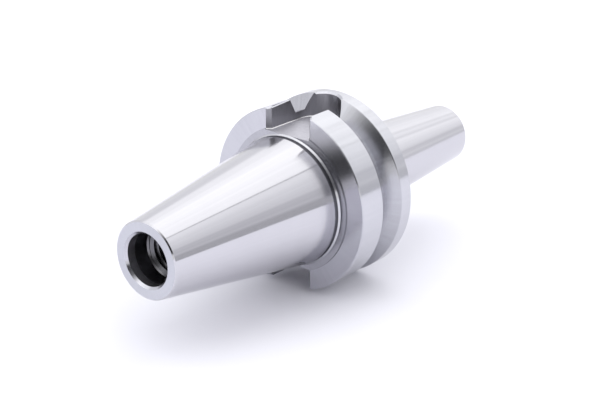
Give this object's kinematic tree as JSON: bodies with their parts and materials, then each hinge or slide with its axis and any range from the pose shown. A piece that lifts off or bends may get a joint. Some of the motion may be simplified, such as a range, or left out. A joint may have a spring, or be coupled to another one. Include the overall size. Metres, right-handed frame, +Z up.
{
  "type": "shrink fit holder",
  "caption": "One-piece steel shrink fit tool holder with a steep machine taper, grooved flange with drive slots, and a slim tapered nose.",
  "frame": {"origin": "centre of the gauge plane, where the taper measures 44.45 mm across, on the holder's axis", "axes": "+X along the axis towards the cutting tool, +Z up through one drive slot, so the holder lies on its flange as in the picture"},
  "size_m": [0.1554, 0.063, 0.063],
  "materials": {
    "ground_steel": "ground and fine turned, bright"
  },
  "bodies": {
    "root": {"holder_body": "ground_steel"}
  },
  "joints": []
}
